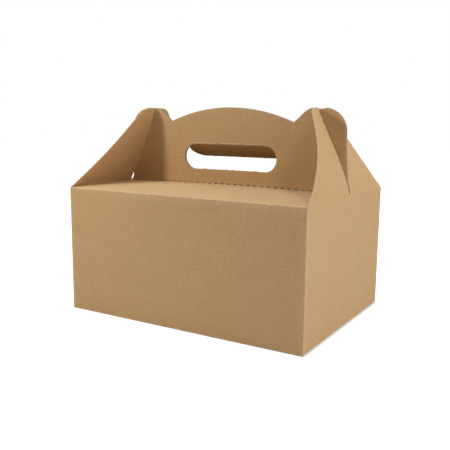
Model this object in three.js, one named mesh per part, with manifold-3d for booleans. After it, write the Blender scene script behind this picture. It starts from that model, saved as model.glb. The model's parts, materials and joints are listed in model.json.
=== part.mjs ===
// A gable-top cardboard lunch box with a carry handle, folded from one kraft board blank.
// Millimetres, +Z up, +X along the front panel, +Y from the front to the rear.
// The origin is under the middle of the box, on the surface that it stands on.

import * as THREE from "three";
import { mergeVertices } from "three/addons/utils/BufferGeometryUtils.js";
import Module from "manifold-3d";

const wasm = await Module();
wasm.setup();

// Board
const board = 0.5; // thickness of the kraft board
const foldRadius = 0.6; // radius of a crease at the middle of the board
const creaseGap = 0.3; // gap at a grip tab's crease and beside a folded flap
const wingCreaseGap = 0.6; // gap at a wing's crease, so that the wing swings clear of the end panel
const layerGap = 0.3; // air between flaps that lie on each other

// Box
const length = 230; // outside, along the front panel
const width = 170; // outside, from front to rear
const height = 111; // up to the creases of the lid
const glueFlapWidth = 16; // inside the rear panel, at the left corner
const glueFlapMargin = 10; // the glue flap stops short of the top and the bottom
const glueBite = 0.15; // how far the glued boards are pressed into each other

// Lid, in two halves that meet at the handle
const lidRise = 1.6; // how much higher the lid is at the handle than at the front
const lidClearance = 1.5; // from an end panel's outside to the lid's cut edge
const handleAir = 1.5; // between the two handle panels

// Handle panels, heights above the lid's creases
const archTop = 71.8; // middle of the arch
const archRadius = 164;
const archInset = 51.5; // from an end panel's outside to the notch between the arch and an ear
const earInset = 38; // from an end panel's outside to where the ear's inner side meets its top
const earTop = 71.4;
const earInnerCut = 6; // rounding of the ear's inner top corner, along each side
const earOuterRadius = 17;
const earSetback = 3.7; // from the end panel's outside to the ear's upright edge
const earFoot = 1; // above the lid's crease, where the ear's upright edge starts
const lockClearance = 0.5; // round the wing's bridge where it sits in the ear
const lockLand = 1; // of straight top edge left between the ear's rounding and its lock notch
const lockSlant = 0.6; // how much the lock notch is deeper at its outer end
const lockToe = 1.2; // length of the slant at that end

// Perforation along the creases between the lid halves and the handle panels
const perforationPitch = 6.8;
const perforationLength = 3.4;
const perforationWidth = 0.7;
const perforationMargin = 4; // from the lid's cut edge to the first cut

// Hand hole and its tabs
const handHoleLength = 96;
const handHoleHeight = 23.5;
const handHoleBottom = 15; // above the lid's creases
const tabGap = 0.35; // knife gap round a tab
const tabShoulder = 6; // below its crease, where the tab reaches its full width
const tabAngle = 58; // degrees that the tabs are pushed back from upright

// Gable wings
const wingLean = 24.2; // degrees inward from upright
const wingReach = 78.3; // from the crease to the top edge, along the wing
const wingTopHalfWidth = 18.5; // of the straight sides carried on to the top edge
const wingTopRadius = 13;
const wingCornerClearance = 0.8; // from the front or rear panel's outside to the wing's edge
const wingBridge = 3; // board left above the slot
const slotHalfWidth = 1.8;
const leftWingBow = 0.6; // outward bow in the middle of the wing
const rightWingBow = 3;

// Bottom flaps of a one-two-three bottom, folded in the order rear, ends, front
const flapCornerClearance = 1.7; // from a corner to a flap's side
const rearFlapReach = 112;
const rearFlapSlotHalfWidth = 38; // recess that takes the front flap's tongue
const rearFlapSlotDepth = 30;
const endFlapReach = 78;
const endFlapTaper = 38; // how much narrower an end flap is at its tip, each side
const tongueLap = 34; // how far the front flap's tongue lies over the rear flap
const tongueHalfWidth = 34;
const tongueShoulder = 14; // from the front flap's shoulders to the rear flap's recess
const climbRun = 12; // over which the front flap climbs onto the rear flap
const climbLand = 1; // the climb ends this far before the recess
const flapTaper = 14; // how much narrower a long flap is at its tip, each side
const cornerFoot = 0.3; // height of the upright corners' feet above the bottom

const kraft = { color: 0xc6a479, roughness: 0.85, metalness: 0 };
const wingStep = 12; // bends in a bowed wing
const foldSteps = 4; // facets in a crease

const lidPlane = height - board / 2; // middle of the board at the front and rear creases
const handleY = (handleAir + board) / 2; // middle of a handle panel
const foldMargin = 2; // of a panel cut back at a fold
const layer = board + layerGap; // from one bottom flap to the next
const bottomFoldTop = 2 * layer + board + foldMargin;
const overlap = 4; // how far a folded piece reaches along the panel that it joins
const flapTop = bottomFoldTop + overlap; // of the strip by which a bottom flap joins its panel
const overshoot = 5; // of a cutting outline past the board that it cuts
const handHoleTop = height + handHoleBottom + handHoleHeight;
const radians = THREE.MathUtils.degToRad;

// A closed geometry as a solid that can be joined and cut.
function solidOf(geometry) {
  geometry.deleteAttribute("normal");
  geometry.deleteAttribute("uv");
  const merged = mergeVertices(geometry, 1e-4);
  return new wasm.Manifold(
    new wasm.Mesh({
      numProp: 3,
      vertProperties: merged.attributes.position.array,
      triVerts: new Uint32Array(merged.index.array),
    }),
  );
}

function geometryOf(solid) {
  const mesh = solid.getMesh();
  const geometry = new THREE.BufferGeometry();
  geometry.setAttribute("position", new THREE.BufferAttribute(mesh.vertProperties, 3));
  geometry.setIndex(new THREE.BufferAttribute(mesh.triVerts, 1));
  geometry.computeVertexNormals();
  return geometry;
}

const axisX = new THREE.Vector3(1, 0, 0);
const axisY = new THREE.Vector3(0, 1, 0);
const axisZ = new THREE.Vector3(0, 0, 1);

// An outline drawn in a plane becomes a prism from one place to another along the axis across it.
// Along x the outline is drawn in (y, z), along y in (x, z) and along z in (x, y).
function prism(shape, axis, from, to) {
  const options = { depth: to - from, bevelEnabled: false, curveSegments: 12 };
  const geometry = new THREE.ExtrudeGeometry(shape, options);
  const turn = new THREE.Matrix4();
  if (axis === "x") {
    turn.makeBasis(axisY, axisZ, axisX).setPosition(from, 0, 0);
  }
  if (axis === "y") {
    turn.makeBasis(axisX, axisZ, axisY.clone().negate()).setPosition(0, to, 0);
  }
  if (axis === "z") {
    turn.setPosition(0, 0, from);
  }
  return solidOf(geometry.applyMatrix4(turn));
}

function rectangle(left, right, low, high) {
  const shape = new THREE.Shape();
  shape.moveTo(left, low);
  shape.lineTo(right, low);
  shape.lineTo(right, high);
  shape.lineTo(left, high);
  shape.closePath();
  return shape;
}

// A route of straight runs with its corners rounded into creases.
function creased(route, radius) {
  const points = [];
  route.forEach((corner, i) => {
    if (i === 0 || i === route.length - 1) {
      points.push(corner.clone());
      return;
    }
    const back = route[i - 1].clone().sub(corner).normalize();
    const on = route[i + 1].clone().sub(corner).normalize();
    const half = Math.acos(THREE.MathUtils.clamp(back.dot(on), -1, 1)) / 2;
    const cut = radius / Math.tan(half);
    const start = corner.clone().addScaledVector(back, cut);
    const end = corner.clone().addScaledVector(on, cut);
    const curve = new THREE.QuadraticBezierCurve(start, corner, end);
    const bend = Math.PI - 2 * half;
    const facets = Math.max(1, Math.round((foldSteps * bend) / (Math.PI / 2)));
    points.push(...curve.getPoints(facets));
  });
  return points;
}

// The edge-on section of a board that follows a route.
function boardSection(points, thickness = board) {
  const sides = [[], []];
  points.forEach((point, i) => {
    const before = points[Math.max(i - 1, 0)];
    const after = points[Math.min(i + 1, points.length - 1)];
    const into = point.clone().sub(before).normalize();
    const out = after.clone().sub(point).normalize();
    if (i === 0) {
      into.copy(out);
    }
    if (i === points.length - 1) {
      out.copy(into);
    }
    const along = into.clone().add(out).normalize();
    const reach = thickness / 2 / along.dot(into);
    const across = new THREE.Vector2(-along.y, along.x).multiplyScalar(reach);
    sides[0].push(point.clone().add(across));
    sides[1].unshift(point.clone().sub(across));
  });
  return new THREE.Shape([...sides[0], ...sides[1]]);
}

function at(u, v) {
  return new THREE.Vector2(u, v);
}

// The four upright panels and the glue flap, one strip folded round the box.
// Between its corners it is cut back where the lid and the bottom flaps fold from it.
function upright() {
  const x = (length - board) / 2;
  const y = (width - board) / 2;
  const glued = y - board + glueBite;
  const wrap = [
    at(glueFlapWidth - x, glued),
    at(-x, glued),
    at(-x, -y),
    at(x, -y),
    at(x, y),
    at(0, y),
  ];
  const seam = [at(overlap, y), at(-x - board / 2, y)];
  const low = cornerFoot;
  const high = height - wingCreaseGap / 2;
  const wrapped = prism(boardSection(creased(wrap, foldRadius)), "z", low, high);
  const strip = wrapped.add(prism(boardSection(seam), "z", low, high));
  const lidHalf = length / 2 - lidClearance + creaseGap;
  const flapHalfX = length / 2 - flapCornerClearance + creaseGap;
  const flapHalfY = width / 2 - flapCornerClearance + creaseGap;
  const foldLow = low - overshoot;
  const glueEnd = glueFlapWidth - length / 2 + overshoot;
  const inside = y - board / 2;
  const behind = inside - overshoot;
  const glueStart = -x + 2 * foldRadius;
  const cuts = [
    prism(rectangle(-lidHalf, lidHalf, high - foldMargin, high + overshoot), "y", -width, width),
    prism(rectangle(-flapHalfX, flapHalfX, foldLow, bottomFoldTop), "y", -width, width),
    prism(rectangle(-flapHalfY, flapHalfY, foldLow, bottomFoldTop), "x", -length, length),
    prism(rectangle(glueStart, glueEnd, high - glueFlapMargin, high + overshoot), "y", behind, inside),
    prism(rectangle(glueStart, glueEnd, foldLow, glueFlapMargin), "y", behind, inside),
  ];
  return cuts.reduce((left, cut) => left.subtract(cut), strip);
}

// The outline of a handle panel above the lid, with the arch, both ears and the lock notches.
// Heights are above the lid's creases.
function handleOutline() {
  const edge = length / 2 - earSetback;
  const archHalfWidth = length / 2 - archInset;
  const earInnerTop = length / 2 - earInset;
  const lean = radians(wingLean);
  const bridgeLow = wingReach - wingBridge;
  const bridgeFoot = new THREE.Vector2(-Math.sin(lean), Math.cos(lean)).multiplyScalar(bridgeLow);
  const half = board / 2 / Math.cos(lean) + lockClearance;
  const seatOut = length / 2 + bridgeFoot.x + half;
  const seatIn = length / 2 - wingReach * Math.sin(lean) - half;
  const seatLow = bridgeFoot.y - lockClearance;
  const lobe = bridgeLow - lockClearance;
  const archLow = archTop - archRadius + Math.sqrt(archRadius ** 2 - archHalfWidth ** 2);

  // Right half, from the middle of the arch to the foot of the ear.
  const right = [];
  const sweep = Math.asin(archHalfWidth / archRadius);
  const archSteps = 10;
  for (let i = 0; i <= archSteps; i += 1) {
    const turn = (sweep * i) / archSteps;
    right.push(at(archRadius * Math.sin(turn), archTop - archRadius * (1 - Math.cos(turn))));
  }
  const notch = at(archHalfWidth, archLow);
  const shoulder = at(earInnerTop, earTop);
  const rounded = new THREE.QuadraticBezierCurve(
    shoulder.clone().add(notch.clone().sub(shoulder).setLength(earInnerCut)),
    shoulder,
    at(Math.min(earInnerTop + earInnerCut, seatIn - lockLand), earTop),
  );
  right.push(...rounded.getPoints(5));
  right.push(at(seatIn, earTop));
  right.push(at(seatIn, seatLow + lockSlant));
  right.push(at(seatOut - lockToe, seatLow));
  // The outer lobe stays inside the arc that the bridge swings on.
  const hingeX = length / 2;
  const cornerX = edge - earOuterRadius;
  const cornerZ = earTop - earOuterRadius;
  const lobeSteps = 5;
  for (let i = 0; i <= lobeSteps; i += 1) {
    const x = seatOut + ((cornerX - seatOut) * i) / lobeSteps;
    const swing = Math.sqrt(lobe ** 2 - (hingeX - x) ** 2);
    right.push(at(x, Math.min(earTop, swing)));
  }
  const cornerSteps = 8;
  for (let i = 1; i <= cornerSteps; i += 1) {
    const turn = (Math.PI / 2) * (1 - i / cornerSteps);
    const x = cornerX + earOuterRadius * Math.cos(turn);
    right.push(at(x, cornerZ + earOuterRadius * Math.sin(turn)));
  }
  const left = right.slice(1).map((point) => at(-point.x, point.y));
  return [...left.reverse(), ...right];
}

function stadium(halfLength, low, high) {
  const radius = (high - low) / 2;
  const middle = (high + low) / 2;
  const path = new THREE.Path();
  path.moveTo(-halfLength + radius, low);
  path.lineTo(halfLength - radius, low);
  path.absarc(halfLength - radius, middle, radius, -Math.PI / 2, Math.PI / 2, false);
  path.lineTo(-halfLength + radius, high);
  path.absarc(-halfLength + radius, middle, radius, Math.PI / 2, (3 * Math.PI) / 2, false);
  return path;
}

// One half of the lid with its handle panel: side is -1 at the front and 1 at the rear.
function lidAndHandle(side) {
  const y = (width - board) / 2;
  const ridge = lidPlane + lidRise;
  const route = [
    at(side * y, height - foldMargin - overlap),
    at(side * y, lidPlane),
    at(side * handleY, ridge),
    at(side * handleY, height + archTop + overshoot),
  ];
  const edge = length / 2 - lidClearance;
  const sheet = prism(boardSection(creased(route, foldRadius)), "x", -edge, edge);
  const foot = ridge + earFoot;
  const low = height - foldMargin - overlap - overshoot;
  const ear = length / 2 - earSetback;
  const outline = new THREE.Shape([
    at(ear, foot),
    at(edge, foot),
    at(edge, low),
    at(-edge, low),
    at(-edge, foot),
    at(-ear, foot),
    ...handleOutline().map((point) => at(point.x, height + point.y)),
  ]);
  outline.holes.push(stadium(handHoleLength / 2, height + handHoleBottom, handHoleTop));
  const cut = sheet.intersect(prism(outline, "y", -width, width));
  return perforation(side, ridge).reduce((left, slit) => left.subtract(slit), cut);
}

// The row of short cuts through a handle panel's crease, centred on the box.
function perforation(side, ridge) {
  const reach = length / 2 - lidClearance - perforationMargin - perforationLength / 2;
  const count = Math.floor(reach / perforationPitch);
  const low = ridge - perforationWidth / 2;
  const inner = side * (handleY - board);
  const outer = side * (handleY + board + foldRadius);
  const slits = [];
  for (let i = -count; i <= count; i += 1) {
    const start = i * perforationPitch - perforationLength / 2;
    const slit = rectangle(start, start + perforationLength, low, low + perforationWidth);
    slits.push(prism(slit, "y", Math.min(inner, outer), Math.max(inner, outer)));
  }
  return slits;
}

// A bottom flap folded in from the front or the rear panel at the given level.
function longFlap(side, level, route, halfWidth) {
  const y = (width - board) / 2;
  const foot = level + board / 2;
  const start = [at(side * y, flapTop), at(side * y, foot)];
  const section = boardSection(creased([...start, ...route], foldRadius));
  return prism(section, "x", -halfWidth, halfWidth);
}

function bottomFlaps() {
  const halfX = length / 2 - flapCornerClearance;
  const wallY = width / 2;
  const rearLevel = 2 * layer;
  const rearTip = wallY - rearFlapReach;
  const rear = longFlap(1, rearLevel, [at(rearTip, rearLevel + board / 2)], halfX);
  const rearOutline = new THREE.Shape([
    at(halfX, wallY),
    at(-halfX, wallY),
    at(-halfX, wallY - rearFlapReach / 2),
    at(-halfX + flapTaper, rearTip),
    at(-rearFlapSlotHalfWidth, rearTip),
    at(-rearFlapSlotHalfWidth, rearTip + rearFlapSlotDepth),
    at(rearFlapSlotHalfWidth, rearTip + rearFlapSlotDepth),
    at(rearFlapSlotHalfWidth, rearTip),
    at(halfX - flapTaper, rearTip),
    at(halfX, wallY - rearFlapReach / 2),
  ]);
  const rearFlap = rear.intersect(prism(rearOutline, "z", -overshoot, flapTop + overshoot));

  const over = rearLevel + layer + board / 2;
  const climb = rearTip + rearFlapSlotDepth;
  const tongueTip = climb + tongueLap;
  const shoulder = climb - tongueShoulder;
  const rise = [
    at(climb - climbRun, board / 2),
    at(climb - climbLand, over),
    at(tongueTip + overshoot, over),
  ];
  const front = longFlap(-1, 0, rise, halfX);
  const frontOutline = new THREE.Shape([
    at(-halfX, -wallY),
    at(halfX, -wallY),
    at(halfX - flapTaper, shoulder),
    at(tongueHalfWidth, shoulder),
    at(tongueHalfWidth, tongueTip),
    at(-tongueHalfWidth, tongueTip),
    at(-tongueHalfWidth, shoulder),
    at(-halfX + flapTaper, shoulder),
  ]);
  const frontFlap = front.intersect(prism(frontOutline, "z", -overshoot, flapTop + overshoot));
  return [rearFlap, frontFlap, endFlap(-1, layer), endFlap(1, layer)];
}

// A bottom flap folded in from an end panel.
function endFlap(side, level) {
  const x = (length - board) / 2;
  const foot = level + board / 2;
  const tip = length / 2 - endFlapReach;
  const route = [at(side * x, flapTop), at(side * x, foot), at(side * tip, foot)];
  const halfY = width / 2 - flapCornerClearance;
  const sheet = prism(boardSection(creased(route, foldRadius)), "y", -halfY, halfY);
  const outline = new THREE.Shape([
    at((side * length) / 2, -halfY),
    at((side * length) / 2, halfY),
    at(side * (length / 2 - endFlapTaper / 2), halfY),
    at(side * tip, halfY - endFlapTaper),
    at(side * tip, endFlapTaper - halfY),
    at(side * (length / 2 - endFlapTaper / 2), -halfY),
  ]);
  return sheet.intersect(prism(outline, "z", -overshoot, flapTop + overshoot));
}

// A gable wing about its crease, which is the line x = z = 0. side is -1 at the left and 1 at the right.
function wing(side, bow) {
  const lean = radians(wingLean);
  const points = [];
  for (let i = 0; i <= wingStep; i += 1) {
    const share = i / wingStep;
    const reach = wingCreaseGap / 2 + (wingReach + wingBridge - wingCreaseGap / 2) * share;
    const out = bow * Math.sin(Math.PI * share);
    const x = -reach * Math.sin(lean) + out * Math.cos(lean);
    points.push(at(side * x, reach * Math.cos(lean) + out * Math.sin(lean)));
  }
  const base = width / 2 - wingCornerClearance;
  const sheet = prism(boardSection(points), "y", -base, base);

  const top = wingReach * Math.cos(lean);
  const slotTop = (wingReach - wingBridge) * Math.cos(lean);
  const slope = at(wingTopHalfWidth - base, top).normalize();
  const cut = wingTopRadius * Math.tan(Math.atan2(-slope.x, slope.y) / -2 + Math.PI / 4);
  const corner = at(wingTopHalfWidth, top);
  const rounded = new THREE.QuadraticBezierCurve(
    corner.clone().addScaledVector(slope, -cut),
    corner,
    corner.clone().setX(corner.x - cut),
  );
  const half = [at(base, -overshoot), at(base, 0), ...rounded.getPoints(8)];
  const mirrored = half.map((point) => at(-point.x, point.y)).reverse();
  const outline = new THREE.Shape([...half, ...mirrored]);
  const slot = rectangle(-slotHalfWidth, slotHalfWidth, -overshoot, slotTop);
  const reach = length;
  return sheet.intersect(prism(outline, "x", -reach, reach)).subtract(prism(slot, "x", -reach, reach));
}

// A grip tab about its crease, which is the line y = z = 0, hanging straight down.
function gripTab() {
  const radius = handHoleHeight / 2 - tabGap;
  const middle = -handHoleHeight / 2;
  const straight = (handHoleLength - handHoleHeight) / 2;
  const right = [at(straight, -creaseGap)];
  const start = Math.asin((middle + tabShoulder) / radius) * -1;
  const steps = 10;
  for (let i = 0; i <= steps; i += 1) {
    const turn = start - ((start + Math.PI / 2) * i) / steps;
    right.push(at(straight + radius * Math.cos(turn), middle + radius * Math.sin(turn)));
  }
  const left = right.map((point) => at(-point.x, point.y)).reverse();
  return prism(new THREE.Shape([...right, ...left]), "y", -board / 2, board / 2);
}

function named(name, solid) {
  const mesh = new THREE.Mesh(geometryOf(solid), new THREE.MeshStandardMaterial(kraft));
  mesh.name = name;
  return mesh;
}

const box = new THREE.Group();

const pieces = [lidAndHandle(-1), lidAndHandle(1), ...bottomFlaps()];
const carton = pieces.reduce((joined, piece) => joined.add(piece), upright());
box.add(named("carton", carton));

const wings = [
  { name: "left_wing", side: -1, bow: leftWingBow },
  { name: "right_wing", side: 1, bow: rightWingBow },
];
for (const { name, side, bow } of wings) {
  const mesh = named(name, wing(side, bow));
  mesh.position.set((side * (length - board)) / 2, 0, height);
  box.add(mesh);
}

const tabs = [
  { name: "front_grip_tab", side: -1 },
  { name: "rear_grip_tab", side: 1 },
];
for (const { name, side } of tabs) {
  const mesh = named(name, gripTab());
  mesh.position.set(0, side * handleY, handHoleTop);
  mesh.rotation.x = radians(tabAngle);
  box.add(mesh);
}

export default box;
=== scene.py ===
import json
import math
from bisect import bisect_right

import bmesh
import bpy
import numpy as np
from mathutils import Matrix, Vector, noise
from mathutils.geometry import delaunay_2d_cdt
from mathutils.kdtree import KDTree


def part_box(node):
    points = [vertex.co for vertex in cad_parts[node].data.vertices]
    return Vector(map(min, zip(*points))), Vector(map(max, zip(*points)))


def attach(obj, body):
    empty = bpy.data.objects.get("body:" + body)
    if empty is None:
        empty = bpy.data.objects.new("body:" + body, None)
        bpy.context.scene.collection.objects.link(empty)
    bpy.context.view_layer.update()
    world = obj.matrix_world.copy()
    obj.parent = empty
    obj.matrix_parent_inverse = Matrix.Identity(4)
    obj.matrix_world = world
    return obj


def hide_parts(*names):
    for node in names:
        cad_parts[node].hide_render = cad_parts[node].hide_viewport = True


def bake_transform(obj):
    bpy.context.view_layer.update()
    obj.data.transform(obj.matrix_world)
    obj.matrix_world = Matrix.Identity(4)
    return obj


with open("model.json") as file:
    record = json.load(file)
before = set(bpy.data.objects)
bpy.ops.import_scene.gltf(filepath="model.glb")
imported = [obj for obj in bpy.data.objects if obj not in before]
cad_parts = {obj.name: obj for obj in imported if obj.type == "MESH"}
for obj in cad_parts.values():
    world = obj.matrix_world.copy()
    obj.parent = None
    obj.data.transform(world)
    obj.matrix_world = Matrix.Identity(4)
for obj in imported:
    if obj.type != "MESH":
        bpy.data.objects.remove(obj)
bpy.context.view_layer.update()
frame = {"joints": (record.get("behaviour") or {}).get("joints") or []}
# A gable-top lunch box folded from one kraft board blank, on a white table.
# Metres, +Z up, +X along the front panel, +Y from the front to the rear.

MM = 0.001

# Board
BOARD = 0.5 * MM
CREASE_RADIUS = 0.6 * MM
CREASE_STEPS = 6

# Box, from the frame
BOX_LOW, BOX_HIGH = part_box("carton")
HALF_LENGTH = (BOX_HIGH.x - BOX_LOW.x) / 2
HALF_WIDTH = (BOX_HIGH.y - BOX_LOW.y) / 2
JOINTS = {joint["name"]: joint for joint in frame["joints"]}
HEIGHT = JOINTS["right_wing_fold"]["pos_m"][2]
HOLE_TOP = JOINTS["front_tab_fold"]["pos_m"][2]
WALL_X = HALF_LENGTH - BOARD / 2
WALL_Y = HALF_WIDTH - BOARD / 2

# Upright panels
GLUE_FLAP_WIDTH = 16 * MM
GLUE_FLAP_MARGIN = 10 * MM
GLUE_AIR = 0.2 * MM
CORNER_DROP = 0.3 * MM
WING_ROOT = 1.5 * MM  # how far below its crease a wing's sheet starts
WING_ROOT_AIR = 0.02 * MM
HOLLOW_GROWTH = 1.6  # how fast a panel's hollow deepens from its edges
LID_GROWTH = 2
RIPPLE_HEIGHT = 0.22 * MM
RIPPLE_SCALE = 9
PANEL_SEED = 1.5
LID_SEED = 4.5

# Lid
LID_CLEARANCE = 1.5 * MM
LID_RISE = 1.6 * MM
LID_SAG = 1.2 * MM  # how much lower the ridge is at its ends
LID_SWELL = 0.7 * MM  # how much higher the ridge is in its middle
LID_CROWN = 1.1 * MM
HANDLE_Y = abs(JOINTS["front_tab_fold"]["pos_m"][1])
PERFORATION_PITCH = 6.8 * MM
PERFORATION_LENGTH = 3.4 * MM
PERFORATION_WIDTH = 1.0 * MM
REAR_PERFORATION_WIDTH = 0.5 * MM
PERFORATION_RAISE = 0.75 * MM  # how far the middle of the cuts lies past the crease, on the handle panel
PERFORATION_MARGIN = 4 * MM
LID_FADE = 0.8  # share of the handle's height over which the ridge's bend fades

# Handle panels, heights above the lid's creases
ARCH_TOP = 71.8 * MM
ARCH_RADIUS = 164 * MM
ARCH_INSET = 51.5 * MM
EAR_INSET = 38 * MM
EAR_TOP = 71.4 * MM
EAR_INNER_RADIUS = 11 * MM
TURN_START = 0.6  # shares of this radius below and beside the ear's shoulder
TURN_END = 0.5
EAR_OUTER_RADIUS = 20 * MM
EAR_SETBACK = 4.6 * MM
EAR_FOOT = 0.6 * MM  # up to this height above the crease the handle is as wide as the lid
RIGHT_EAR_SLANT = 40 * MM  # up to this height the right ear's outer edge slants in from the lid's end
NOTCH_FILLET = 1.6 * MM
FILLET_START = 0.6  # share of the arch's last step
LOCK_CLEARANCE = 0.5 * MM
LOCK_LAND = 1 * MM  # straight top edge left between the ear's rounding and its lock notch
LOCK_SLANT = 0.6 * MM  # how much the lock notch is deeper at its outer end
LOCK_TOE = 1.2 * MM
RIGHT_LOCK_SHIFT = 1.6 * MM  # the right wing leans a little less than the left one

# Hand hole and its tabs
HOLE_LENGTH = 96 * MM
HOLE_HEIGHT = 23.5 * MM
TAB_GAP = 0.35 * MM
TAB_SHOULDER = 2.5 * MM
TAB_ANGLE = math.radians(60)
TAB_ROOT = 0.8 * MM
TAB_TOP = 0.3 * MM  # where the tab widens, below its crease
TAB_CREASE_RADIUS = 0.5 * MM
NICKS = (-27 * MM, 4 * MM, 26 * MM)  # where the tab's free edge was torn from the hole
NICK_WIDTH = 1.5 * MM
NICK_HEIGHT = 0.7 * MM
NICK_SHAPE = ((-0.5, 0.0), (-0.2, 1.0), (0.25, 0.8), (0.5, 0.0))  # shares of the width and height

# Gable wings
WING_LEAN = math.radians(24.2)
WING_REACH = 78.3 * MM
WING_TOP_HALF_WIDTH = 18.5 * MM
WING_TOP_RADIUS = 22 * MM
WING_CORNER_CLEARANCE = 0.8 * MM
WING_BRIDGE = 3 * MM
SLOT_HALF_WIDTH = 1.8 * MM
SLOT_FOOT = 0.6 * MM
SLOT_FOOT_HALF_WIDTH = 0.5 * MM
SLOT_NECK = 5 * MM
SLOT_NECK_HALF_WIDTH = 1.6 * MM
SLOT_FULL = 40 * MM  # the height from which the slot has its full width
WING_CREASE_RADIUS = 1.0 * MM
CREASE_ROWS = [0.5 * MM, 1 * MM, 2 * MM]  # extra rows of points above a wing's crease

# How the wings are bent in the photo
PRESSED_BOW = 0.9 * MM
PRESSED_FRONT = 2.0 * MM
LOOSE_TOP = 1.7 * MM
LOOSE_FRONT_TOP = 3.0 * MM
LOOSE_MIDDLE_BOW = 2.6 * MM
LOOSE_FRONT_BOW = 7.4 * MM
MIDDLE_SKEW = 0.6  # below 1 the bow is deepest below the middle of the wing
FRONT_SKEW = 0.85
RIGHT_WING_SLACK = 1.5 * MM

# Bottom flaps, folded in the order rear, ends, front
LAYER = 0.8 * MM
FLAP_CORNER_CLEARANCE = 1.7 * MM
REAR_FLAP_REACH = 112 * MM
REAR_SLOT_HALF_WIDTH = 38 * MM
REAR_SLOT_DEPTH = 30 * MM
END_FLAP_REACH = 78 * MM
END_FLAP_TAPER = 38 * MM
FRONT_FLAP_REACH = 98 * MM
TONGUE_REACH = 24 * MM
TONGUE_HALF_WIDTH = 34 * MM
TONGUE_CUT = 6 * MM
FLAP_TAPER = 14 * MM
CLIMB_RUN = 12 * MM
CLIMB_LEAD = 1 * MM

# Mesh
GRID_STEP = 6 * MM
WING_GRID_STEP = 3 * MM
TAB_GRID_STEP = 4 * MM
EDGE_STEP = 2.5 * MM
ROUND_STEPS = 18  # steps along the round ends of the hand hole and the tabs
SAME_LINE = 0.04 * MM
SAME_POINT = 1e-6
SMOOTH_ANGLE = math.radians(38)
PAIR_FACE_ANGLE = 0.5
PAIR_SHAPE_ANGLE = 0.7
ROUTE_SPARE = 5 * MM  # how far a section's route runs on past the board's edge
SHORT_SPARE = 1 * MM

# Wear
WEAR_STEP = 1 * MM
CREASE_WEAR = 1.3 * MM
EDGE_WEAR = 1.0 * MM

# Camera
CAMERA_PLACE = (289.7 * MM, -488.5 * MM, 170.1 * MM)
CAMERA_YAW = math.radians(31.02)
CAMERA_DIP = math.radians(9.41)
CAMERA_ROLL = math.radians(0.57)
CAMERA_LENS = 49.85  # in millimetres, like the sensor's width
CAMERA_SENSOR = 36


class Route:
    """Straight legs with rounded corners, measured along the length.

    Before and after hold where each corner's rounding starts and ends, as (length, point).
    """

    def __init__(self, corners, radius=CREASE_RADIUS):
        self.points = [Vector(corners[0])]
        self.lengths = [0.0]
        self.before = []
        self.after = []
        self.creases = []
        for i in range(1, len(corners) - 1):
            self._turn(Vector(corners[i - 1]), Vector(corners[i]), Vector(corners[i + 1]), radius)
        self._add(Vector(corners[-1]))

    def _add(self, point):
        self.lengths.append(self.lengths[-1] + (point - self.points[-1]).length)
        self.points.append(point)

    def _turn(self, back, corner, ahead, radius):
        into = (back - corner).normalized()
        out = (ahead - corner).normalized()
        half = into.angle(out) / 2
        cut = radius / math.tan(half)
        start = corner + into * cut
        end = corner + out * cut
        for i in range(CREASE_STEPS + 1):
            share = i / CREASE_STEPS
            near = start.lerp(corner, share)
            self._add(near.lerp(corner.lerp(end, share), share))
            if i == 0:
                self.before.append((self.lengths[-1], start))
        self.after.append((self.lengths[-1], end))
        self.creases.append((self.before[-1][0] + self.lengths[-1]) / 2)

    def shift(self, amount):
        """Counts the lengths from another place."""
        self.lengths = [length + amount for length in self.lengths]
        self.creases = [length + amount for length in self.creases]
        self.before = [(length + amount, point) for length, point in self.before]
        self.after = [(length + amount, point) for length, point in self.after]
        return self

    def leg(self, length):
        last = len(self.lengths) - 2
        return min(max(bisect_right(self.lengths, length) - 1, 0), last)

    def at(self, length):
        i = self.leg(length)
        span = self.lengths[i + 1] - self.lengths[i]
        return self.points[i].lerp(self.points[i + 1], (length - self.lengths[i]) / span)

    def along(self, length):
        i = self.leg(length)
        return (self.points[i + 1] - self.points[i]).normalized()


def wall_route(corners, foot):
    """A panel's section as (inward, up). On the upright panel the length is the height."""
    route = Route(corners)
    length, point = route.after[foot]
    return route.shift(point.y - length)


def front_route():
    """The front panel's section. Its bottom flap climbs over the others at the rear flap's recess."""
    foot = BOARD / 2
    over = 3 * LAYER + BOARD / 2
    climb = HALF_WIDTH - REAR_FLAP_REACH + REAR_SLOT_DEPTH + WALL_Y
    tip = FRONT_FLAP_REACH + TONGUE_REACH
    lower = [(tip, over), (climb - CLIMB_LEAD, over), (climb - CLIMB_RUN, foot), (0, foot)]
    return wall_route(lower + upper_corners(), 2)


def rear_route():
    foot = 2 * LAYER + BOARD / 2
    return wall_route([(REAR_FLAP_REACH, foot), (0, foot)] + upper_corners(), 0)


def end_route():
    foot = LAYER + BOARD / 2
    return wall_route([(END_FLAP_REACH, foot), (0, foot), (0, HEIGHT)], 0)


def upper_corners():
    """A long panel's section from the lid's crease to past the top of the handle."""
    plane = HEIGHT - BOARD / 2
    inward = WALL_Y - HANDLE_Y
    ridge = plane + LID_RISE
    return [(0, plane), (inward, ridge), (inward, HEIGHT + ARCH_TOP + ROUTE_SPARE)]


PLAN = Route(
    [
        (GLUE_FLAP_WIDTH - WALL_X, WALL_Y - BOARD - GLUE_AIR),
        (-WALL_X, WALL_Y - BOARD - GLUE_AIR),
        (-WALL_X, -WALL_Y),
        (WALL_X, -WALL_Y),
        (WALL_X, WALL_Y),
        (-HALF_LENGTH, WALL_Y),
    ]
)
FRONT = front_route()
REAR = rear_route()
END = end_route()


class Panel:
    """One upright panel of the blank with the flaps above and below it.

    Hollow is how far the middle of the panel is drawn in.
    """

    def __init__(self, route, start, end, hollow):
        self.route = route
        self.start = start
        self.end = end
        self.middle = (start + end) / 2
        self.hollow = hollow


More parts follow.
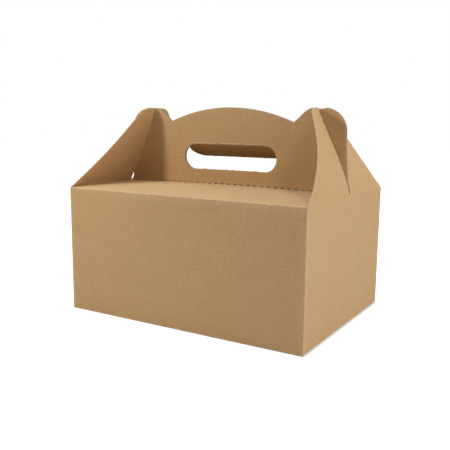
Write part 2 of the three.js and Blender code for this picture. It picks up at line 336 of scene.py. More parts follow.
LEFT_CORNER, FRONT_CORNER, RIGHT_CORNER, REAR_CORNER = PLAN.creases
REAR_END = REAR_CORNER + RIGHT_CORNER - FRONT_CORNER
LEFT_PANEL = Panel(END, LEFT_CORNER, FRONT_CORNER, hollow=0.6 * MM)
FRONT_PANEL = Panel(FRONT, FRONT_CORNER, RIGHT_CORNER, hollow=0.3 * MM)
RIGHT_PANEL = Panel(END, RIGHT_CORNER, REAR_CORNER, hollow=0.5 * MM)
REAR_PANEL = Panel(REAR, REAR_CORNER, REAR_END, hollow=0.15 * MM)
PANELS = (LEFT_PANEL, FRONT_PANEL, RIGHT_PANEL, REAR_PANEL)
# The number of each panel's crease at the table, counted along its route
FEET = ((LEFT_PANEL, 0), (FRONT_PANEL, 2), (RIGHT_PANEL, 0), (REAR_PANEL, 0))


def panel_at(s):
    for panel in PANELS:
        if s < panel.end:
            return panel
    return REAR_PANEL


def smooth(share):
    """An even passage from 0 to 1."""
    share = min(max(share, 0.0), 1.0)
    return share * share * (3 - 2 * share)


def ripple(s, t, seed):
    """The slight unevenness of a folded board."""
    place = Vector((s * RIPPLE_SCALE, t * RIPPLE_SCALE, seed))
    return noise.noise(place) * RIPPLE_HEIGHT


def lid_lift(across, t, route):
    """How far the lid and the handle's foot lie above the plane of the CAD lid."""
    start = route.after[-2][0]
    ridge = route.creases[-1]
    share = (t - start) / (ridge - start)
    middle = 1 - min(abs(across) / HALF_LENGTH, 1.0) ** 2
    ends = (LID_SWELL + LID_SAG) * middle - LID_SAG
    if share <= 1:
        return smooth(share) * ends + LID_CROWN * math.sin(math.pi * max(share, 0.0))
    fade = 1 - smooth((t - ridge) / (ARCH_TOP * LID_FADE))
    return ends * fade


def place_carton(s, t):
    """The blank's point at s along the panels and t up from the table, folded into the box."""
    panel = panel_at(s)
    plan = PLAN.at(s)
    along = PLAN.along(s)
    inward = Vector((-along.y, along.x))
    section = panel.route.at(t)
    point = plan + inward * section.x
    place = Vector((point.x, point.y, section.y))
    across = s - panel.middle
    half = (panel.end - panel.start) / 2
    side = 1 - min(abs(across) / half, 1.0) ** 2
    if 0 < t < HEIGHT and s > LEFT_CORNER:
        up = 1 - (2 * t / HEIGHT - 1) ** 2
        growth = smooth(HOLLOW_GROWTH * side) * smooth(HOLLOW_GROWTH * up)
        drawn_in = (panel.hollow + ripple(s, t, PANEL_SEED)) * growth
        place += Vector((inward.x, inward.y, 0)) * drawn_in
    if t > HEIGHT and panel.route is not END:
        place.z += lid_lift(across, t, panel.route)
        if t < panel.route.creases[-1]:
            place.z += ripple(s, t, LID_SEED) * smooth(LID_GROWTH * side)
    return place


def arch_edge(arch_half):
    """The arch from its middle to just before the notch beside the ear."""
    sweep = math.asin(arch_half / ARCH_RADIUS)
    edge = []
    arch_steps = 26
    for i in range(arch_steps):
        turn = sweep * i / arch_steps
        height = ARCH_TOP - ARCH_RADIUS * (1 - math.cos(turn))
        edge.append(Vector((ARCH_RADIUS * math.sin(turn), height)))
    return edge


def ear_rise(arch_end, notch, seat_in):
    """From the arch through the notch's fillet and up the ear's inner side to its top."""
    ear_inner = HALF_LENGTH - EAR_INSET
    shoulder = Vector((ear_inner, EAR_TOP))
    slant = (notch - shoulder).normalized()
    fillet_start = arch_end.lerp(notch, FILLET_START)
    edge = curve(fillet_start, notch, notch - slant * NOTCH_FILLET, steps=5)
    turn_start = shoulder + slant * EAR_INNER_RADIUS * TURN_START
    turn_end = Vector((min(ear_inner + EAR_INNER_RADIUS * TURN_END, seat_in - LOCK_LAND), EAR_TOP))
    return edge + curve(turn_start, shoulder, turn_end, steps=8)


def ear_lobe(seat_out, lobe):
    """The ear outside its lock notch: a top inside the arc of the wing's bridge, then the round corner."""
    corner = Vector((HALF_LENGTH - EAR_SETBACK - EAR_OUTER_RADIUS, EAR_TOP - EAR_OUTER_RADIUS))
    edge = []
    lobe_steps = 8
    for i in range(lobe_steps + 1):
        x = seat_out + (corner.x - seat_out) * i / lobe_steps
        swing = math.sqrt(lobe**2 - (HALF_LENGTH - x) ** 2)
        edge.append(Vector((x, min(EAR_TOP, swing))))
    corner_steps = 14
    for i in range(1, corner_steps + 1):
        turn = math.pi / 2 * (1 - i / corner_steps)
        edge.append(corner + Vector((math.cos(turn), math.sin(turn))) * EAR_OUTER_RADIUS)
    return edge


def handle_half(lock_shift):
    """One half of a handle panel's edge, from the middle of the arch to the outer corner of the ear."""
    bridge = WING_REACH - WING_BRIDGE
    half = BOARD / 2 / math.cos(WING_LEAN) + LOCK_CLEARANCE
    seat_out = HALF_LENGTH - bridge * math.sin(WING_LEAN) + half + lock_shift
    seat_in = HALF_LENGTH - WING_REACH * math.sin(WING_LEAN) - half + lock_shift
    seat_low = bridge * math.cos(WING_LEAN) - LOCK_CLEARANCE
    arch_half = HALF_LENGTH - ARCH_INSET
    arch_low = ARCH_TOP - ARCH_RADIUS + math.sqrt(ARCH_RADIUS**2 - arch_half**2)
    notch = Vector((arch_half, arch_low))
    right = arch_edge(arch_half)
    right += ear_rise(right[-1], notch, seat_in)
    right.append(Vector((seat_in, EAR_TOP)))
    right.append(Vector((seat_in, seat_low + LOCK_SLANT)))
    right.append(Vector((seat_out - LOCK_TOE, seat_low)))
    return right + ear_lobe(seat_out, bridge - LOCK_CLEARANCE)


def curve(start, corner, end, steps):
    """A rounded corner as points."""
    points = []
    for i in range(steps + 1):
        share = i / steps
        points.append(start.lerp(corner, share).lerp(corner.lerp(end, share), share))
    return points


def handle_top(panel):
    """The edge of the lid half and its handle panel, from one corner of the box to the other."""
    lid_edge = HALF_LENGTH - LID_CLEARANCE
    ear_edge = HALF_LENGTH - EAR_SETBACK
    length, point = panel.route.after[-1]
    to_length = length - point.y
    foot = length + EAR_FOOT
    sides = []
    for side in (-1, 1):
        at_right_end = side == (1 if panel is FRONT_PANEL else -1)
        half = handle_half(RIGHT_LOCK_SHIFT if at_right_end else 0.0)
        ear_foot = foot + (RIGHT_EAR_SLANT if at_right_end else 0.0)
        feet = [(ear_edge, ear_foot), (lid_edge, foot), (lid_edge, HEIGHT - CORNER_DROP)]
        points = [(p.x, p.y + HEIGHT + to_length) for p in half] + feet
        sides.append([Vector((panel.middle + side * x, y)) for x, y in points])
    return list(reversed(sides[0][1:])) + sides[1]


def end_top(panel):
    """The top of an end panel, cut down where the wing's own sheet starts."""
    half = HALF_WIDTH - WING_CORNER_CLEARANCE + WING_ROOT_AIR
    high = HEIGHT - CORNER_DROP
    low = HEIGHT - WING_ROOT
    return [
        Vector((panel.middle - half, high)),
        Vector((panel.middle - half, low)),
        Vector((panel.middle + half, low)),
        Vector((panel.middle + half, high)),
    ]


def flap_edge(panel, foot, half, right):
    """The edge of a bottom flap. Right holds half its points as (across, inward), from its foot."""
    length, point = panel.route.before[foot]
    low = BOARD
    points = [Vector((half, low))]
    points += [Vector((across, length + point.x - inward)) for across, inward in right]
    left = [Vector((-p.x, p.y)) for p in points]
    middle = Vector((panel.middle, 0))
    return [middle + p for p in left + list(reversed(points))]


def front_bottom():
    """The front bottom flap. Its tongue goes through the rear flap's recess and lies over that flap."""
    half = HALF_LENGTH - FLAP_CORNER_CLEARANCE
    climb = HALF_WIDTH - REAR_FLAP_REACH + REAR_SLOT_DEPTH + WALL_Y
    shoulder = climb - FLAP_TAPER
    tip = FRONT_FLAP_REACH + TONGUE_REACH - BOARD / 2
    right = [
        (half - FLAP_TAPER, shoulder),
        (TONGUE_HALF_WIDTH, shoulder),
        (TONGUE_HALF_WIDTH, tip - TONGUE_CUT),
        (TONGUE_HALF_WIDTH - TONGUE_CUT, tip),
    ]
    return flap_edge(FRONT_PANEL, 2, half, right)


def rear_bottom():
    half = HALF_LENGTH - FLAP_CORNER_CLEARANCE
    tip = REAR_FLAP_REACH - BOARD / 2
    recess = tip - REAR_SLOT_DEPTH
    right = [
        (half, tip / 2),
        (half - FLAP_TAPER, tip),
        (REAR_SLOT_HALF_WIDTH, tip),
        (REAR_SLOT_HALF_WIDTH, recess),
    ]
    return flap_edge(REAR_PANEL, 0, half, right)


def end_bottom(panel):
    half = HALF_WIDTH - FLAP_CORNER_CLEARANCE
    tip = END_FLAP_REACH - BOARD / 2
    right = [(half, END_FLAP_TAPER / 2), (half - END_FLAP_TAPER, tip)]
    return flap_edge(panel, 0, half, right)


def carton_outline():
    """The blank's outer edge, flat, from the glue flap's foot round to its top."""
    high = HEIGHT - CORNER_DROP
    low = CORNER_DROP
    free_end = PLAN.lengths[-1]
    glue_end = LEFT_CORNER - 2 * CREASE_RADIUS
    glue_low = GLUE_FLAP_MARGIN
    glue_high = HEIGHT - GLUE_FLAP_MARGIN
    top = end_top(LEFT_PANEL) + handle_top(FRONT_PANEL) + end_top(RIGHT_PANEL) + handle_top(REAR_PANEL)
    bottom = []
    edges = (end_bottom(LEFT_PANEL), front_bottom(), end_bottom(RIGHT_PANEL), rear_bottom())
    for panel, edge in zip(PANELS, edges):
        half = abs(edge[0].x - panel.middle)
        bottom.append(Vector((panel.middle - half, low)))
        bottom += edge[1:-1]
        bottom.append(Vector((panel.middle + half, low)))
    glue_top = [Vector((glue_end, high)), Vector((glue_end, glue_high)), Vector((0, glue_high))]
    glue_bottom = [Vector((0, glue_low)), Vector((glue_end, glue_low)), Vector((glue_end, low))]
    right_side = [Vector((free_end, low)), Vector((free_end, high))]
    return glue_bottom + bottom + right_side + list(reversed(top)) + glue_top


def stadium_ends(middle, half, low, high):
    """The round ends of a stadium: the right one from below, then the left one from above."""
    radius = (high - low) / 2
    ends = []
    for side in (1, -1):
        end = []
        for i in range(ROUND_STEPS + 1):
            turn = -math.pi / 2 + math.pi * i / ROUND_STEPS
            x = side * (half - radius + radius * math.cos(turn))
            end.append(Vector((middle + x, (high + low) / 2 + side * radius * math.sin(turn))))
        ends.append(end)
    return ends


def carton_holes():
    """The hand holes and the cuts at the foot of the handle, flat."""
    holes = []
    for panel in (FRONT_PANEL, REAR_PANEL):
        length, point = panel.route.after[-1]
        high = HOLE_TOP - point.y + length
        low = high - HOLE_HEIGHT
        straight = (HOLE_LENGTH - HOLE_HEIGHT) / 2
        right_end, left_end = stadium_ends(panel.middle, HOLE_LENGTH / 2, low, high)
        root = [
            Vector((panel.middle + straight, high + TAB_ROOT)),
            Vector((panel.middle - straight, high + TAB_ROOT)),
        ]
        holes.append(right_end + root + left_end + nicks(panel.middle, low, way=1))
        holes += perforation(panel)
    return holes


def nicks(middle, edge, way):
    """The torn nicks along a straight edge, as bumps. The way is 1 to the right and -1 to the left."""
    bumps = []
    for x in sorted(NICKS, reverse=way < 0):
        for along, height in NICK_SHAPE:
            across = middle + x + way * along * NICK_WIDTH
            bumps.append(Vector((across, edge + height * NICK_HEIGHT)))
    return bumps


def perforation(panel):
    """The row of short cuts along the crease between the lid and the handle."""
    reach = HALF_LENGTH - LID_CLEARANCE - PERFORATION_MARGIN - PERFORATION_LENGTH / 2
    count = math.floor(reach / PERFORATION_PITCH)
    middle = panel.route.creases[-1] + PERFORATION_RAISE
    width = PERFORATION_WIDTH if panel is FRONT_PANEL else REAR_PERFORATION_WIDTH
    low = middle - width / 2
    high = middle + width / 2
    slits = []
    for i in range(-count, count + 1):
        left = panel.middle + i * PERFORATION_PITCH - PERFORATION_LENGTH / 2
        right = left + PERFORATION_LENGTH
        corners = [(left, low), (right, low), (right, high), (left, high)]
        slits.append([Vector(corner) for corner in corners])
    return slits


def grid_lines(low, high, fixed, step=GRID_STEP):
    """Lines from low to high, the fixed ones among them, no further apart than a step."""
    marks = sorted([low, high] + [value for value in fixed if low < value < high])
    kept = [marks[0]]
    for mark in marks[1:]:
        if mark - kept[-1] > SAME_LINE:
            kept.append(mark)
    lines = [kept[0]]
    for start, end in zip(kept, kept[1:]):
        parts = math.ceil((end - start) / step)
        lines += [start + (end - start) * (i + 1) / parts for i in range(parts)]
    return lines


def subdivided(loop, step=EDGE_STEP):
    """A closed loop with points added, so that none are further apart than a step."""
    points = []
    for start, end in zip(loop, loop[1:] + loop[:1]):
        parts = max(1, math.ceil((end - start).length / step))
        points += [start.lerp(end, i / parts) for i in range(parts)]
    return points


def inside(loop, centres):
    """Which of the centres lie inside the loop."""
    found = np.zeros(len(centres), bool)
    for a, b in zip(loop, loop[1:] + loop[:1]):
        if a.y == b.y:
            continue
        spans = (centres[:, 1] < a.y) != (centres[:, 1] < b.y)
        cross = a.x + (centres[:, 1] - a.y) * (b.x - a.x) / (b.y - a.y)
        found ^= spans & (centres[:, 0] < cross)
    return found


def flat_mesh(outline, holes, columns, rows):
    """Points and faces of a flat board: its outline and holes over a grid of lines."""
    loops = [subdivided(loop) for loop in [outline] + holes]
    points = []
    edges = []
    for loop in loops:
        first = len(points)
        points += loop
        edges += [(first + i, first + (i + 1) % len(loop)) for i in range(len(loop))]
    for x in columns:
        edges.append((len(points), len(points) + 1))
        points += [Vector((x, rows[0])), Vector((x, rows[-1]))]
    for y in rows:
        edges.append((len(points), len(points) + 1))
        points += [Vector((columns[0], y)), Vector((columns[-1], y))]
    found, _, faces, _, _, _ = delaunay_2d_cdt(points, edges, [], 0, SAME_POINT)
    place = np.array([(p.x, p.y) for p in found])
    centres = place[np.array(faces)].mean(axis=1)
    kept = inside(loops[0], centres)
    for loop in loops[1:]:
        kept &= ~inside(loop, centres)
    faces = [face for face, keep in zip(faces, kept) if keep]
    used = sorted({i for face in faces for i in face})
    number = {old: new for new, old in enumerate(used)}
    return [found[i] for i in used], [[number[i] for i in face] for face in faces], loops


def board_piece(name, flat, place, creases, joins, seed, face="face"):
    """A sheet of board: a flat mesh folded by place and made as thick as the board, with its wear."""
    points, faces, loops = flat
    mesh = bpy.data.meshes.new(name)
    mesh.from_pydata([place(p.x, p.y) for p in points], [], faces)
    store_board_place(mesh, points, seed)
    store_wear(mesh, points, loops, creases, joins)
    pair_triangles(mesh)
    mesh.materials.append(MATERIALS[face])
    mesh.materials.append(MATERIALS["edge"])
    mesh.shade_smooth()
    piece = bpy.data.objects.new(name, mesh)
    bpy.context.scene.collection.objects.link(piece)
    thicken(piece)
    return piece


def thicken(piece):
    """Gives a sheet the board's thickness, with sharp cut edges."""
    solid = piece.modifiers.new("board", "SOLIDIFY")
    solid.thickness = BOARD
    solid.offset = 0
    solid.material_offset_rim = 1
    solid.use_quality_normals = True
    shown = piece.evaluated_get(bpy.context.evaluated_depsgraph_get())
    mesh = bpy.data.meshes.new_from_object(shown)
    piece.modifiers.clear()
    piece.data = mesh
    mesh.set_sharp_from_angle(angle=SMOOTH_ANGLE)


def store_board_place(mesh, points, seed):
    """Keeps each point's place on the flat board for the materials, so that grain follows the folds."""
    attribute = mesh.attributes.new("board_place", "FLOAT_VECTOR", "POINT")
    values = np.array([(p.x, p.y, seed) for p in points], np.float32)
    attribute.data.foreach_set("vector", values.ravel())


def store_wear(mesh, points, loops, creases, joins):
    """How near each point is to a crease and to a cut edge, from 0 to 1.

    Joins are the heights where an edge goes on in another piece, so that it isn't a cut one.
    """
    border = [p for loop in loops for p in subdivided(loop, WEAR_STEP)]
    border = [p for p in border if all(abs(p.y - join) > SAME_LINE for join in joins)]
    tree = KDTree(len(border))
    for i, p in enumerate(border):
        tree.insert((p.x, p.y, 0), i)
    tree.balance()
    crease = []
    edge = []
    for p in points:
        distance = min((line(p) for line in creases), default=1.0)
        crease.append(math.exp(-((distance / CREASE_WEAR) ** 2)))
        edge.append(math.exp(-tree.find((p.x, p.y, 0))[2] / EDGE_WEAR))
    for name, values in (("crease", crease), ("edge", edge)):
        attribute = mesh.attributes.new(name, "FLOAT", "POINT")
        attribute.data.foreach_set("value", np.array(values, np.float32))


def pair_triangles(mesh):
    """Joins triangles to quads where they lie nearly flat."""
    work = bmesh.new()
    work.from_mesh(mesh)
    bmesh.ops.join_triangles(
        work,
        faces=work.faces,
        angle_face_threshold=PAIR_FACE_ANGLE,
        angle_shape_threshold=PAIR_SHAPE_ANGLE,
    )
    bmesh.ops.recalc_face_normals(work, faces=work.faces)
    work.to_mesh(mesh)
    work.free()
    mesh.update()


def row_crease(height, panels):
    """Distance from a crease that runs along the panels at the given length."""

    def distance(p):
        if any(panel.start <= p.x <= panel.end for panel in panels):
            return abs(p.y - height)
        return 1.0

    return distance


def column_crease(s):
    """Distance from an upright crease between two panels."""

    def distance(p):
        return abs(p.x - s) if 0 <= p.y <= HEIGHT else 1.0

    return distance


def make_carton():
    """The box with its bottom, lid and handle, folded from one sheet."""
    long_panels = (FRONT_PANEL, REAR_PANEL)
    columns = grid_lines(0, PLAN.lengths[-1], PLAN.lengths)
    fixed = FRONT.lengths + REAR.lengths + END.lengths
    rows = grid_lines(min(fixed), max(fixed), fixed)
    creases = [column_crease(s) for s in PLAN.creases]
    creases += [row_crease(FRONT.creases[-2], long_panels), row_crease(FRONT.creases[-1], long_panels)]
    creases += [row_crease(panel.route.creases[foot], (panel,)) for panel, foot in FEET]
    flat = flat_mesh(carton_outline(), carton_holes(), columns, rows)
    joins = [HEIGHT - WING_ROOT]
    piece = board_piece("folded_carton", flat, place_carton, creases, joins, seed=0.0)
    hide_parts("carton")
    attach(piece, "carton")
    return piece


def wing_section():
    """A wing's section as (inward, up): straight up from its root, then leaning in from the crease."""
    top = WING_REACH + SHORT_SPARE
    lean = (top * math.sin(WING_LEAN), HEIGHT + top * math.cos(WING_LEAN))
    route = Route([(0, HEIGHT - WING_ROOT), (0, HEIGHT), lean], WING_CREASE_RADIUS)
    length, point = route.after[0]
    reach = (point - Vector((0, HEIGHT))).length
    return route.shift(reach - length)


WING = wing_section()


def wing_outline():
    """A wing and the strip below its crease, as (across, reach)."""
    base = HALF_WIDTH - WING_CORNER_CLEARANCE
    top = Vector((WING_TOP_HALF_WIDTH, WING_REACH))
    slope = (top - Vector((base, 0))).normalized()
    cut = WING_TOP_RADIUS * math.tan(math.pi / 4 - math.atan2(-slope.x, slope.y) / 2)
    right = [Vector((base, WING.lengths[0])), Vector((base, 0))]
    right += curve(top - slope * cut, top, Vector((top.x - cut, top.y)), steps=14)
    return right + [Vector((-p.x, p.y)) for p in reversed(right)]


def wing_slot():
    """The slot that slips over the ears, narrower at its foot."""
    right = [
        Vector((SLOT_FOOT_HALF_WIDTH, SLOT_FOOT)),
        Vector((SLOT_NECK_HALF_WIDTH, SLOT_NECK)),
        Vector((SLOT_HALF_WIDTH, SLOT_FULL)),
        Vector((SLOT_HALF_WIDTH, WING_REACH - WING_BRIDGE)),
    ]
    return right + [Vector((-p.x, p.y)) for p in reversed(right)]


def pressed_bow(across, share):
    """How far the left wing stands out of its plane. It is pressed in, most at its front edge."""
    width = HALF_WIDTH + (WING_TOP_HALF_WIDTH - HALF_WIDTH) * share
    front = smooth(-across / width)
    return -(PRESSED_BOW + PRESSED_FRONT * front) * math.sin(math.pi * share)


def loose_bow(across, share):
    """How far the right wing stands out of its plane: most at its front edge, hardly at its rear edge."""
    middle = LOOSE_TOP * share + LOOSE_MIDDLE_BOW * math.sin(math.pi * share**MIDDLE_SKEW)
    front = LOOSE_FRONT_TOP * share + LOOSE_FRONT_BOW * math.sin(math.pi * share**FRONT_SKEW)
    rear = LOOSE_TOP * share
    width = HALF_WIDTH + (WING_TOP_HALF_WIDTH - HALF_WIDTH) * share
    if across < 0:
        return middle + (front - middle) * smooth(-across / width)
    return middle + (rear - middle) * smooth(across / width)


def place_wing(side, bow, slack):
    """Folds a wing. It stands out of its plane by bow, and its top sits lower by slack.

    It never leans out past the wall below it.
    """
    out = Vector((side * math.cos(WING_LEAN), 0, math.sin(WING_LEAN)))
    down = Vector((side * math.sin(WING_LEAN), 0, -math.cos(WING_LEAN)))

    def place(across, reach):
        section = WING.at(reach)
        share = min(max(reach / WING_REACH, 0.0), 1.0)
        flat = Vector((side * (WALL_X - section.x), across, section.y))
        point = flat + out * bow(across, share) + down * slack * share
        point.x = side * min(side * point.x, WALL_X)
        return point

    return place


def make_wing(name, node, side, bow, slack, seed):
    """One gable wing. Its crease shows only by its bend, with no wear on it."""
    slot_sides = [-SLOT_HALF_WIDTH, 0, SLOT_HALF_WIDTH]
    columns = grid_lines(-HALF_WIDTH, HALF_WIDTH, slot_sides, WING_GRID_STEP)
    rows = grid_lines(WING.lengths[0], WING_REACH, WING.lengths + CREASE_ROWS, WING_GRID_STEP)
    flat = flat_mesh(wing_outline(), [wing_slot()], columns, rows)
    place = place_wing(side, bow, slack)
    piece = board_piece(name, flat, place, [], [WING.lengths[0]], seed)
    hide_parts(node)
    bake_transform(piece)
    return piece


def tab_route():
    """A grip tab's section as (back, up) from its root above the crease."""
    low = HOLE_HEIGHT + SHORT_SPARE
    end = (low * math.sin(TAB_ANGLE), HOLE_TOP - low * math.cos(TAB_ANGLE))
    route = Route([(0, HOLE_TOP + TAB_ROOT), (0, HOLE_TOP), end], TAB_CREASE_RADIUS)
    length, point = route.after[0]
    return route.shift((point - Vector((0, HOLE_TOP))).length - length)


TAB = tab_route()


def tab_outline():
    """A grip tab as (across, reach down from its crease)."""
    radius = HOLE_HEIGHT / 2 - TAB_GAP
    middle = HOLE_HEIGHT / 2
    straight = (HOLE_LENGTH - HOLE_HEIGHT) / 2
    start = math.asin((middle - TAB_SHOULDER) / radius)
    right = [Vector((straight - TAB_GAP, TAB.lengths[0])), Vector((straight - TAB_GAP, TAB_TOP))]
    right.append(Vector((straight, TAB_TOP)))
    for i in range(ROUND_STEPS + 1):
        turn = start - (start + math.pi / 2) * i / ROUND_STEPS
        right.append(Vector((straight + radius * math.cos(turn), middle - radius * math.sin(turn))))
    free = HOLE_HEIGHT - TAB_GAP
    left = [Vector((-p.x, p.y)) for p in reversed(right)]
    return right + nicks(0.0, free, way=-1) + left


def make_tab(name, node, y, seed):
    """One grip tab, pushed back from the handle panel at y."""
    columns = grid_lines(-HOLE_LENGTH / 2, HOLE_LENGTH / 2, [])
    rows = grid_lines(TAB.lengths[0], HOLE_HEIGHT, TAB.lengths, TAB_GRID_STEP)
    flat = flat_mesh(tab_outline(), [], columns, rows)

    def place(across, reach):
        section = TAB.at(reach)
        return Vector((across, y + section.x, section.y))

    # The tab takes the board material with painted shade, darker and redder than the panels.
    piece = board_piece(name, flat, place, [lambda p: abs(p.y)], [TAB.lengths[0]], seed, "tab")
    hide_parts(node)
    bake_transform(piece)
    return piece


# The Mix node's sockets for colours: share, first and second
MIX_INPUTS = (0, 6, 7)
MIX_OUTPUT = 2


class Nodes:
    """Builds one material's node tree in few words."""

    def __init__(self, name):
        self.material = bpy.data.materials.new(name)
        self.material.use_nodes = True
        self.tree = self.material.node_tree
        self.shader = self.tree.nodes["Principled BSDF"]
        self.output = self.tree.nodes["Material Output"]

    def add(self, kind, **settings):
        node = self.tree.nodes.new(kind)
        for key, value in settings.items():
            setattr(node, key, value)
        return node

    def link(self, start, end):
        self.tree.links.new(start, end)

    def attribute(self, name):
        return self.add("ShaderNodeAttribute", attribute_name=name)

    def scaled(self, source, scale):
        node = self.add("ShaderNodeVectorMath", operation="MULTIPLY")
        self.link(source, node.inputs[0])
        node.inputs[1].default_value = scale
        return node.outputs["Vector"]

    def noise(self, source, scale, detail=2.0, roughness=0.5, distortion=0.0):
        node = self.add("ShaderNodeTexNoise")
        self.link(source, node.inputs["Vector"])
        node.inputs["Scale"].default_value = scale
        node.inputs["Detail"].default_value = detail
        node.inputs["Roughness"].default_value = roughness
        node.inputs["Distortion"].default_value = distortion
        return node.outputs["Fac"]

    def ranged(self, source, low, high, to_low=0.0, to_high=1.0):
        node = self.add("ShaderNodeMapRange")
        self.link(source, node.inputs["Value"])
        node.inputs["From Min"].default_value = low
        node.inputs["From Max"].default_value = high
        node.inputs["To Min"].default_value = to_low
        node.inputs["To Max"].default_value = to_high
        return node.outputs["Result"]

    def math(self, operation, first, second):
        node = self.add("ShaderNodeMath", operation=operation)
        for socket, value in zip(node.inputs, (first, second)):
            if isinstance(value, (int, float)):
                socket.default_value = value
            else:
                self.link(value, socket)
        return node.outputs["Value"]

    def mixed(self, share, first, second):
        node = self.add("ShaderNodeMix", data_type="RGBA")
        sockets = [node.inputs[number] for number in MIX_INPUTS]
        for socket, value in zip(sockets, (share, first, second)):
            if isinstance(value, (int, float)):
                socket.default_value = value
            elif isinstance(value, tuple):
                socket.default_value = (*value, 1.0)
            else:
                self.link(value, socket)
        return node.outputs[MIX_OUTPUT]

    def bump(self, height, strength, distance, normal=None):
        node = self.add("ShaderNodeBump")
        node.inputs["Strength"].default_value = strength
        node.inputs["Distance"].default_value = distance
        self.link(height, node.inputs["Height"])
        if normal is not None:
            self.link(normal, node.inputs["Normal"])
        return node.outputs["Normal"]


# Kraft board colours
KRAFT = (0.518, 0.320, 0.142)
KRAFT_PALE = (0.565, 0.366, 0.170)
KRAFT_DEEP = (0.460, 0.272, 0.113)
FIBRE_DARK = (0.215, 0.118, 0.048)
FIBRE_PALE = (0.640, 0.470, 0.290)
CREASE_PALE = (0.590, 0.410, 0.230)
EDGE_CORE = (0.640, 0.480, 0.310)
TAB_PAINTED_SHADE = 0.74  # painted shade: the tabs' colour is darkened and made redder to stand for the deeper shade they lie in

# Kraft board grain, in waves a metre
CLOUDS = (46, 62, 7)
MOTTLE = 420
GRAIN = (3200, 1500, 1)
WORN_PATCHES = 190
PLIES = (900, 900, 2600)

# Fibres: waves a metre along the board and up it, and the noise level above which one shows
DARK_UPRIGHT = (2400, 420, 0.70)
DARK_LEVEL = (520, 2100, 0.715)
PALE_UPRIGHT = (1900, 330, 0.69)
FIBRE_SOFTNESS = 0.06

# How strongly each mark shows over the board's own colour
CLOUD_SHARE = 0.35
MOTTLE_SHARE = 0.8
GRAIN_SHARE = 0.20
PALE_SHARE = 0.30
DARK_SHARE = 0.34
WORN_SHARE = 0.55
EDGE_SHARE = 0.8


def fibres(nodes, place, along, up, threshold):
    """Short fibres that lie the way that has fewer waves a metre."""
    stretched = nodes.scaled(place, (along, up, 1.0))
    field = nodes.noise(stretched, 1.0, detail=1.0, roughness=0.4, distortion=0.6)
    return nodes.ranged(field, threshold, threshold + FIBRE_SOFTNESS)


def kraft_face(name, shade):
    """Uncoated kraft board. A shade of 1 is the board's own tone, and a lower one paints shade into it,
    darker and redder.
    """
    nodes = Nodes(name)
    place = nodes.attribute("board_place").outputs["Vector"]
    clouds = nodes.noise(nodes.scaled(place, CLOUDS), 1.0, detail=4.0, roughness=0.6)
    mottle = nodes.noise(place, MOTTLE, detail=3.0, roughness=0.6)
    grain = nodes.noise(nodes.scaled(place, GRAIN), 1.0, detail=2.0, roughness=0.6)
    tone = nodes.mixed(nodes.ranged(clouds, low=0.32, high=0.68), KRAFT_DEEP, KRAFT_PALE)
    tone = nodes.mixed(CLOUD_SHARE, KRAFT, tone)
    tone = nodes.mixed(nodes.ranged(mottle, 0.38, 0.62, to_high=MOTTLE_SHARE), tone, KRAFT_DEEP)
    tone = nodes.mixed(nodes.ranged(grain, 0.35, 0.75, to_high=GRAIN_SHARE), tone, FIBRE_PALE)
    upright = fibres(nodes, place, *DARK_UPRIGHT)
    level = fibres(nodes, place, *DARK_LEVEL)
    dark = nodes.math("MAXIMUM", upright, level)
    pale = fibres(nodes, place, *PALE_UPRIGHT)
    tone = nodes.mixed(nodes.math("MULTIPLY", pale, PALE_SHARE), tone, FIBRE_PALE)
    tone = nodes.mixed(nodes.math("MULTIPLY", dark, DARK_SHARE), tone, FIBRE_DARK)
    tone = nodes.mixed(nodes.math("MULTIPLY", worn(nodes, place), WORN_SHARE), tone, CREASE_PALE)
    # A shade below 1 is painted shade: darker, most of all in blue.
    tone = nodes.scaled(tone, (shade, shade**1.2, shade**1.5))
    nodes.link(tone, nodes.shader.inputs["Base Color"])
    roughness = nodes.ranged(grain, 0.3, 0.7, to_low=0.56, to_high=0.72)
    nodes.link(roughness, nodes.shader.inputs["Roughness"])
    nodes.shader.inputs["Specular IOR Level"].default_value = 0.18
    soft = nodes.bump(mottle, strength=0.25, distance=0.12 * MM)
    fine = nodes.bump(grain, strength=0.35, distance=0.04 * MM, normal=soft)
    nodes.link(fine, nodes.shader.inputs["Normal"])
    return nodes.material


def worn(nodes, place):
    """Where creases and cut edges are rubbed paler, broken up along their length."""
    crease = nodes.attribute("crease").outputs["Fac"]
    edge = nodes.attribute("edge").outputs["Fac"]
    patches = nodes.noise(place, WORN_PATCHES, detail=4.0, roughness=0.65)
    rubbed = nodes.math("MAXIMUM", crease, nodes.math("MULTIPLY", edge, EDGE_SHARE))
    return nodes.math("MULTIPLY", rubbed, nodes.ranged(patches, 0.35, 0.62, to_low=0.15))


def kraft_edge():
    """The board's cut edge: paler and rougher than its face."""
    nodes = Nodes("kraft_board_cut_edge")
    place = nodes.add("ShaderNodeTexCoord").outputs["Object"]
    plies = nodes.noise(nodes.scaled(place, PLIES), 1.0, detail=3.0, roughness=0.7)
    tone = nodes.mixed(nodes.ranged(plies, low=0.3, high=0.7), KRAFT, EDGE_CORE)
    nodes.link(tone, nodes.shader.inputs["Base Color"])
    roughness = nodes.ranged(plies, 0.3, 0.7, to_low=0.8, to_high=0.95)
    nodes.link(roughness, nodes.shader.inputs["Roughness"])
    nodes.shader.inputs["Specular IOR Level"].default_value = 0.2
    rough = nodes.bump(plies, strength=0.5, distance=0.05 * MM)
    nodes.link(rough, nodes.shader.inputs["Normal"])
    return nodes.material


# Table and world
TABLE_HALF = 4.0
TABLE_COLOUR = (0.82, 0.82, 0.82)
TABLE_GLOW = 0.84
# Painted contact shadow: the table's glow is lowest at the box's foot and rises to the full glow over this
# reach
PAINTED_SHADOW_GLOW = 0.20
PAINTED_SHADOW_REACH = 4 * MM
TABLE_FADE = 0.35
WORLD_LEVEL = 0.03
LAMP_TARGET = Vector((0, 0, 0.10))


